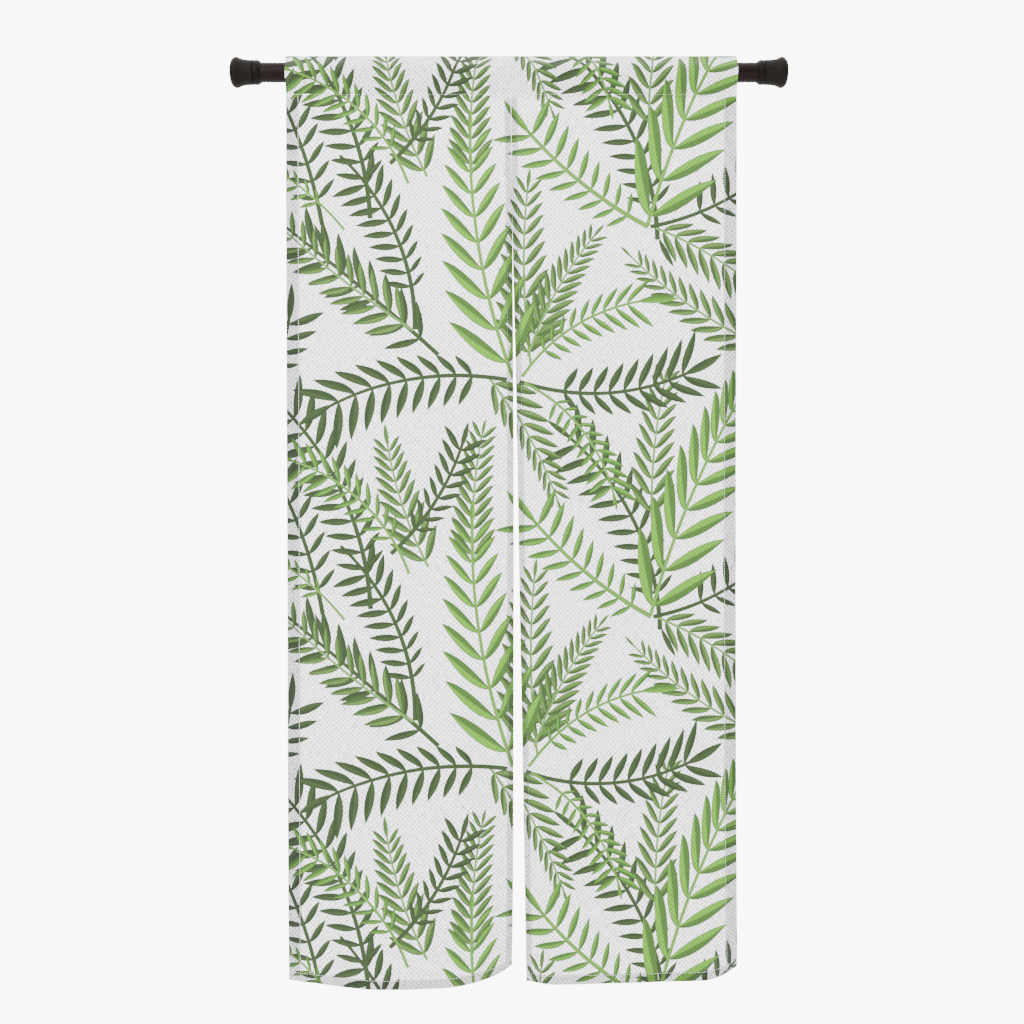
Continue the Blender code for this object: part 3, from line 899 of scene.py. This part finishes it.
def clothMaterial(name, lowX, highX):
    # the fronds that reach between lowX and highX on the chart, over the woven ground
    material, tree, shader = newMaterial(name)
    setSockets(shader, {
        "Roughness": 0.88, "Specular IOR Level": 0.25, "Sheen Weight": 0.12, "Sheen Roughness": 0.5,
    })
    uv = tree.nodes.new("ShaderNodeUVMap")
    uv.uv_map = "clothPlace"
    place = uv.outputs[0]
    woven = useGroup(
        tree, groups["weave"], place=place, threadTurns=weave["threadTurns"], slubTurns=weave["slubTurns"],
    )
    # the ink creeps a little along the threads
    creep = timesPlus(noise(place, weave["creepScale"], 1.0), *weave["creep"])
    unit = 1 / chart["unit"]
    corner = (chart["middleX"], chart["creaseY"], 0.0)
    onChart = vectorCalc("MULTIPLY_ADD", place, (unit, unit, 0.0), corner)
    onChart = vectorCalc("ADD", onChart, joinVector(creep, creep, 0.0))
    colour = clothColours["white"]
    used = 0
    for frond in fronds:
        reach = max(frond["left"][1:] + frond["right"][1:] + (frond["end"],)) + frondLook["spare"]
        ends = (frond["base"][0], frond["tip"][0])
        if max(ends) + reach > lowX and min(ends) - reach < highX:
            colour = addFrond(tree, groups["frond"], onChart, colour, frond)
            used += 1
    printed = mixColours(attribute(tree, "ink"), clothColours["white"], colour)
    # painted shade: the ground is darkened where the cloth lies in more layers, in place of light passing
    # through
    paintedShadeColour = mixColours(attribute(tree, "layers"), clothColours["ground"], clothColours["hem"])
    # the threads show most where the cloth is white, because ink fills the weave
    bare = timesPlus(splitVector(printed)["Y"], *weave["showsThrough"])
    tone = timesPlus(minus(woven["Tone"], 1.0), bare, 1.0)
    connect(tintByTone(tint(paintedShadeColour, printed), tone), shader.inputs["Base Color"])
    puckers = noise(vectorCalc("MULTIPLY", place, weave["puckerScale"]), 1.0, 1.0)
    nearSewn = times(puckers, attribute(tree, "sewnNear"))
    height = timesPlus(nearSewn, weave["puckerHeight"], woven["Height"])
    addBump(shader, height, strength=0.5, distance=0.0003)
    print(name, "has", used, "fronds")
    return material


groups = {"frond": buildFrondGroup(), "weave": buildWeaveGroup()}
stripsAcross = 3
stripOverlap = 4  # chart units past a strip's edges
reachX = cloth["panelWidth"] / chart["unit"]
grids = {}
for word, panel in panels.items():
    firstX = chart["middleX"] - (reachX if panel["side"] < 0 else 0)
    edges = firstX + reachX * np.arange(stripsAcross + 1) / stripsAcross
    finishes = []
    for i in range(stripsAcross):
        finish = "printedCloth_" + word + str(i + 1)
        finishes.append(clothMaterial(finish, edges[i] - stripOverlap, edges[i + 1] + stripOverlap))
    made, grids[word] = clothPanel("cloth_" + word, panel, finishes)
    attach(made, "root")
    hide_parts("panel_" + word)
    print("cloth_" + word, len(made.data.polygons), "faces")


# the rod, its collars and its feet, turned about the rod's axis

turnedSizes = {
    "span": 1.067,
    "rodRadius": 0.0186,
    "rodWall": 0.0008,
    "rodStopsAt": 0.016,
    "gap": 0.0003,
    "sides": 96,
    "footLength": 0.0442,
    "neckRadius": 0.0235,
    "rimRadius": 0.0294,
    "padRadius": 0.014,
    "padEdge": 0.0009,
    "rimAt": 0.013,
    "rimRound": 0.0015,
    "flarePower": 3.0,
    "grooveDepth": 0.0012,
    "grooveHalf": 0.0012,
    "axisHole": 0.0002,  # the pads stay open by this much round the axis
    "collarBody": 0.0087,
    "collarChamfer": 0.0055,
    "collarLip": 0.0006,
    "collarRounds": [0, 0.0003, 0.0008, 0.0018, 0.0004, 0],  # at its corners, from bore to bore
    "softEdge": 0.0003,
}


def roundedCorners(corners, radii, steps=5):
    # a closed profile whose corners are cut by a curve between a point before and a point after each one
    corners = np.asarray(corners, float)
    line = []
    for i, radius in enumerate(radii):
        here, before, after = corners[i], corners[i - 1], corners[(i + 1) % len(corners)]
        if radius == 0:
            line.append(here)
            continue
        into, out = before - here, after - here
        reach = min(radius, 0.45 * np.linalg.norm(into), 0.45 * np.linalg.norm(out))
        first, last = here + into / np.linalg.norm(into) * reach, here + out / np.linalg.norm(out) * reach
        for u in np.linspace(0, 1, steps):
            line.append((1 - u) ** 2 * first + 2 * u * (1 - u) * here + u**2 * last)
    return np.array(line)


def turnedPiece(name, profile, side, finish):
    # every point of the closed profile, as (way in from the rod's end, radius), goes round the axis
    count = turnedSizes["sides"]
    turns = np.linspace(0, 2 * math.pi, count, endpoint=False)
    x = side * (turnedSizes["span"] / 2 - profile[:, 0])
    ring = np.stack([np.zeros_like(turns), np.sin(turns), np.cos(turns)], axis=1)
    onAxis = np.stack([x, 0 * x, 0 * x], axis=1)
    points = ring[None, :, :] * profile[:, 1][:, None, None] + onAxis[:, None, :]
    index = np.arange(len(profile) * count).reshape(len(profile), count)
    inward, around = np.roll(index, -1, axis=0), np.roll(index, -1, axis=1)
    both = np.roll(inward, -1, axis=1)
    faces = np.stack([index, around, both, inward], axis=-1).reshape(-1, 4)
    if side < 0:
        faces = faces[:, ::-1]
    return addMesh(name, points.reshape(-1, 3), faces.tolist(), finish)


def footProfile():
    # pad, domed shoulder, soft rim, concave flare to the neck, groove, and the hole for the rod's end
    size = turnedSizes
    turns = np.linspace(0, math.pi / 2, 14)
    dome = np.stack([
        size["rimAt"] * (1 - np.cos(turns)),
        size["padRadius"] + (size["rimRadius"] - size["padRadius"]) * np.sin(turns),
    ], axis=1)
    neckEnd = size["footLength"] - size["grooveHalf"]
    u = np.linspace(0, 1, 22)[1:]
    flare = np.stack([
        size["rimAt"] + (neckEnd - size["rimAt"]) * u,
        size["neckRadius"] + (size["rimRadius"] - size["neckRadius"]) * (1 - u) ** size["flarePower"],
    ], axis=1)
    hole = size["rodRadius"] + size["gap"]
    bottom = size["rodStopsAt"] - size["gap"]
    inside = np.array([
        [size["footLength"], size["neckRadius"] - size["grooveDepth"]], [size["footLength"], hole],
        [bottom, hole], [bottom, size["axisHole"]], [0.0, size["axisHole"]],
    ])
    radii = [size["padEdge"]] + [0] * (len(dome) - 2) + [size["rimRound"]] + [0] * (len(flare) - 1)
    return roundedCorners(np.concatenate([dome, flare, inside]), radii + [0, size["softEdge"], 0, 0, 0])


def collarProfile():
    # a ring from the groove to a chamfer that ends in a thin lip on the rod
    size = turnedSizes
    start = size["footLength"] + size["gap"]
    bore = size["rodRadius"] + size["gap"]
    bodyEnd = start + size["collarBody"]
    end = bodyEnd + size["collarChamfer"]
    corners = [
        (start, bore), (start, size["neckRadius"] - size["grooveDepth"]),
        (start + size["grooveHalf"], size["neckRadius"]), (bodyEnd, size["neckRadius"]),
        (end, bore + size["collarLip"]), (end, bore),
    ]
    return roundedCorners(corners, size["collarRounds"])


def rodProfile():
    # a tube from inside one foot to inside the other
    size = turnedSizes
    start, end = size["rodStopsAt"], size["span"] - size["rodStopsAt"]
    inner = size["rodRadius"] - size["rodWall"]
    corners = [(start, inner), (start, size["rodRadius"]), (end, size["rodRadius"]), (end, inner)]
    return roundedCorners(corners, [0, size["softEdge"], size["softEdge"], 0])


scuff = {
    "cloudScale": 26.0,
    "streakScale": (9.0, 420.0, 420.0),  # drawn out along the axis
    "tone": (0.5, 0.75),  # a factor and what is added
    "roughRange": 0.35,
    "streakHeight": 0.3,
}


def buildScuffGroup():
    # faint clouds, streaks along the axis and fine grain, as a tone, a roughness and a height
    group, given, results = startGroup("satinWear", {
        "Place": (0.0, 0.0, 0.0), "Base Roughness": 0.4, "Grain Scale": 900.0,
    }, {"Tone": "Float", "Roughness": "Float", "Height": "Float"})
    place = given["Place"]
    grain = noise(place, given["Grain Scale"], 2.0, 0.6)
    clouds = noise(place, scuff["cloudScale"], 3.0, 0.6)
    streaks = noise(vectorCalc("MULTIPLY", place, scuff["streakScale"]), 1.0, 2.0, 0.5)
    mixed = timesPlus(streaks, 0.5, times(clouds, 0.5))
    rough = timesPlus(minus(mixed, 0.5), scuff["roughRange"], given["Base Roughness"], clamp=True)
    connect(timesPlus(mixed, *scuff["tone"]), results["Tone"])
    connect(rough, results["Roughness"])
    connect(timesPlus(streaks, scuff["streakHeight"], grain), results["Height"])
    return group


turnedFinishes = {
    "rod": {"colour": (0.0050, 0.0026, 0.0023, 1), "roughness": 0.42, "grain": 700.0, "depth": 0.00002},
    "collar": {"colour": (0.0032, 0.0019, 0.0016, 1), "roughness": 0.44, "grain": 900.0, "depth": 0.00002},
    "foot": {"colour": (0.0044, 0.0033, 0.0024, 1), "roughness": 0.55, "grain": 1400.0, "depth": 0.00004},
}


def turnedMaterial(name, finish, group):
    material, tree, shader = newMaterial(name)
    setSockets(shader, {"Specular IOR Level": 0.05})
    place = objectPlace(tree)
    worn = useGroup(tree, group, place=place, baseRoughness=finish["roughness"], grainScale=finish["grain"])
    connect(tintByTone(finish["colour"], worn["Tone"]), shader.inputs["Base Color"])
    connect(worn["Roughness"], shader.inputs["Roughness"])
    addBump(shader, worn["Height"], strength=0.4, distance=finish["depth"])
    return material


scuffs = buildScuffGroup()
turnedMaterials = {}
for slot, finish in turnedFinishes.items():
    turnedMaterials[slot] = turnedMaterial(slot + "Finish", finish, scuffs)
turnedPieces = [
    ("rod_tube", rodProfile(), -1, "rod", "rod"),
    ("collar_ring_left", collarProfile(), -1, "collar", "collar_left"),
    ("collar_ring_right", collarProfile(), 1, "collar", "collar_right"),
    ("foot_cap_left", footProfile(), -1, "foot", "foot_left"),
    ("foot_cap_right", footProfile(), 1, "foot", "foot_right"),
]
for name, profile, side, slot, node in turnedPieces:
    made = turnedPiece(name, profile, side, turnedMaterials[slot])
    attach(made, "root")
    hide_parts(node)
print("rod, collars and feet turned")


# sewing thread, one small rounded dash a stitch, pressed into the cloth's face

sewing = {
    "pitch": 0.0048,
    "dash": 0.0042,
    "width": 0.00085,
    "fineWidth": 0.00028,  # along the edges where the two panels meet
    "height": 0.0005,
    "sunk": 0.00012,
    "sideStarts": 0.004,  # below the pocket's seam, as sideEnds is above the lower edge
    "sideEnds": 0.003,
    "endsFromEdge": 0.003,
    "cornerGap": 0.002,  # the bottom line stops this far from the side lines
    "seamBelow": 0.0012,
    "colour": (0.78, 0.78, 0.76, 1),
    "grainScale": 900.0,
    "grainTone": (0.24, 0.88),
    # the rings of a dash, as shares of the way along it and of its full width, with this many points each
    "stations": [0.10, 0.30, 0.70, 0.90],
    "fullness": [0.72, 1.0, 1.0, 0.72],
    "around": 6,
    "ringDip": 0.9,  # shares of the height, for the part of a ring that is missing and for the end points
    "tipDip": 0.6,
}
dashPoints = len(sewing["stations"]) * sewing["around"] + 2


def readGrid(values, rowPlaces, columnPlaces, row, column):
    # bilinear reading of a grid at many (row, column) places
    i = np.clip(np.searchsorted(rowPlaces, row, side="right") - 1, 0, len(rowPlaces) - 2)
    j = np.clip(np.searchsorted(columnPlaces, column, side="right") - 1, 0, len(columnPlaces) - 2)
    u = ((row - rowPlaces[i]) / (rowPlaces[i + 1] - rowPlaces[i]))[:, None]
    v = ((column - columnPlaces[j]) / (columnPlaces[j + 1] - columnPlaces[j]))[:, None]
    top = values[i, j] * (1 - v) + values[i, j + 1] * v
    low = values[i + 1, j] * (1 - v) + values[i + 1, j + 1] * v
    return top * (1 - u) + low * u


def stitchDashes(starts, ends, outward, broad):
    # each dash is a short rod with round ends: rings of points, closed by a point at each end. It is wider
    # than it is high, and its end rings and end points dip into the cloth
    along = (ends - starts) / lengths(ends - starts)
    sideways = np.cross(outward, along)
    sideways /= lengths(sideways)
    up = np.cross(along, sideways)
    stations, fullness = np.array(sewing["stations"]), np.array(sewing["fullness"])
    around = sewing["around"]
    turns = np.arange(around) / around * 2 * math.pi
    centre = starts[:, None, :] + (ends - starts)[:, None, :] * stations[None, :, None]
    dip = (1 - fullness) * sewing["height"] * sewing["ringDip"]
    centre = (centre - up[:, None, :] * dip[None, :, None])[:, :, None, :]
    wide = (broad / 2 * fullness[:, None] * np.cos(turns)[None, :])[None, :, :, None]
    high = (sewing["height"] / 2 * fullness[:, None] * np.sin(turns)[None, :])[None, :, :, None]
    rings = centre + sideways[:, None, None, :] * wide + up[:, None, None, :] * high
    capDip = up * sewing["height"] * sewing["tipDip"]
    first, last = (starts - capDip)[:, None, :], (ends - capDip)[:, None, :]
    points = np.concatenate([first, rings.reshape(len(starts), -1, 3), last], axis=1)
    quads, caps = [], []
    end = dashPoints - 1
    for now in range(around):
        after = (now + 1) % around
        for low in range(1, end - around, around):
            quads.append([low + now, low + after, low + around + after, low + around + now])
        caps += [[0, 1 + after, 1 + now], [end, end - around + now, end - around + after]]
    return points, np.array(quads), np.array(caps)


def stitchLine(grid, skin, fromPlace, toPlace):
    # dashes along a straight way on the flat cloth, from (column, down) to (column, down), on one skin
    fromPlace, way = np.array(fromPlace), np.array(toPlace) - np.array(fromPlace)
    length = np.linalg.norm(way)
    count = int(length / sewing["pitch"])
    first = (np.arange(count) + 0.5) / count - sewing["dash"] / 2 / length
    tail = slice(grid["tailStarts"], None)
    rows, columns = grid["fromSeam"][tail], grid["columns"]
    onFront = skin == "front"
    above = cloth["sheet"] / 2 + (0 if onFront else cloth["hemExtra"]) + sewing["height"] / 2
    above -= sewing["sunk"] + (cloth["grooveDepth"] if onFront else 0)
    ends = []
    for share in (first, first + sewing["dash"] / length):
        place = fromPlace[None, :] + way[None, :] * share[:, None]
        facing = readGrid(grid["outward"][tail], rows, columns, place[:, 1], place[:, 0])
        facing *= (1 if onFront else -1) / lengths(facing)
        ends.append(readGrid(grid["middle"][tail], rows, columns, place[:, 1], place[:, 0]) + facing * above)
    return ends[0], ends[1], facing


def threadMaterial():
    material, tree, shader = newMaterial("whiteThread")
    setSockets(shader, {"Roughness": 0.7, "Sheen Weight": 0.2})
    tone = timesPlus(noise(objectPlace(tree), sewing["grainScale"], 1.0), *sewing["grainTone"])
    connect(tintByTone(sewing["colour"], tone), shader.inputs["Base Color"])
    return material


def sewnWays(panel):
    # from and to places and widths of the stitch lines: side hems, bottom hem in three parts, pocket's seam
    width, length = cloth["panelWidth"], panelLength(panel)
    leftHem, rightHem = hemWidths(panel)
    inset, gap, edge = cloth["stitchInset"], sewing["cornerGap"], sewing["endsFromEdge"]
    left, right, low = leftHem - inset, width - rightHem + inset, length - cloth["bottomHem"] + inset
    sideStart, sideEnd, seam = sewing["sideStarts"], length - sewing["sideEnds"], sewing["seamBelow"]
    bold, fine = sewing["width"], sewing["fineWidth"]
    leftBroad, rightBroad = (bold, fine) if panel["side"] < 0 else (fine, bold)
    return [
        ((left, sideStart), (left, sideEnd), leftBroad),
        ((right, sideStart), (right, sideEnd), rightBroad),
        ((left + gap, low), (right - gap, low), bold),
        ((edge, low), (left - gap, low), bold),
        ((right + gap, low), (width - edge, low), bold),
        ((edge, seam), (width - edge, seam), bold),
    ]


def sewPanel(word, panel, finish):
    # front and back. Behind, the pocket's seam lies on the flap, one cloth further out
    points, quads, caps, placed = [], [], [], 0
    for skin in ("front", "back"):
        for fromPlace, toPlace, broad in sewnWays(panel):
            starts, ends, facing = stitchLine(grids[word], skin, fromPlace, toPlace)
            if skin == "back" and fromPlace[1] == sewing["seamBelow"]:
                lift = facing * cloth["solidSheet"]
                starts, ends = starts + lift, ends + lift
            dashes, sides, tips = stitchDashes(starts, ends, facing, broad)
            steps = np.arange(len(dashes))[:, None, None] * dashPoints + placed
            quads.append((sides[None] + steps).reshape(-1, 4))
            caps.append((tips[None] + steps).reshape(-1, 3))
            points.append(dashes.reshape(-1, 3))
            placed += len(dashes) * dashPoints
    faces = np.concatenate(quads).tolist() + np.concatenate(caps).tolist()
    made = addMesh("stitches_" + word, np.concatenate(points), faces, finish)
    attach(made, "root")
    print("stitches_" + word, placed // dashPoints, "dashes")
    return made


thread = threadMaterial()
for word, panel in panels.items():
    stitches = sewPanel(word, panel, thread)
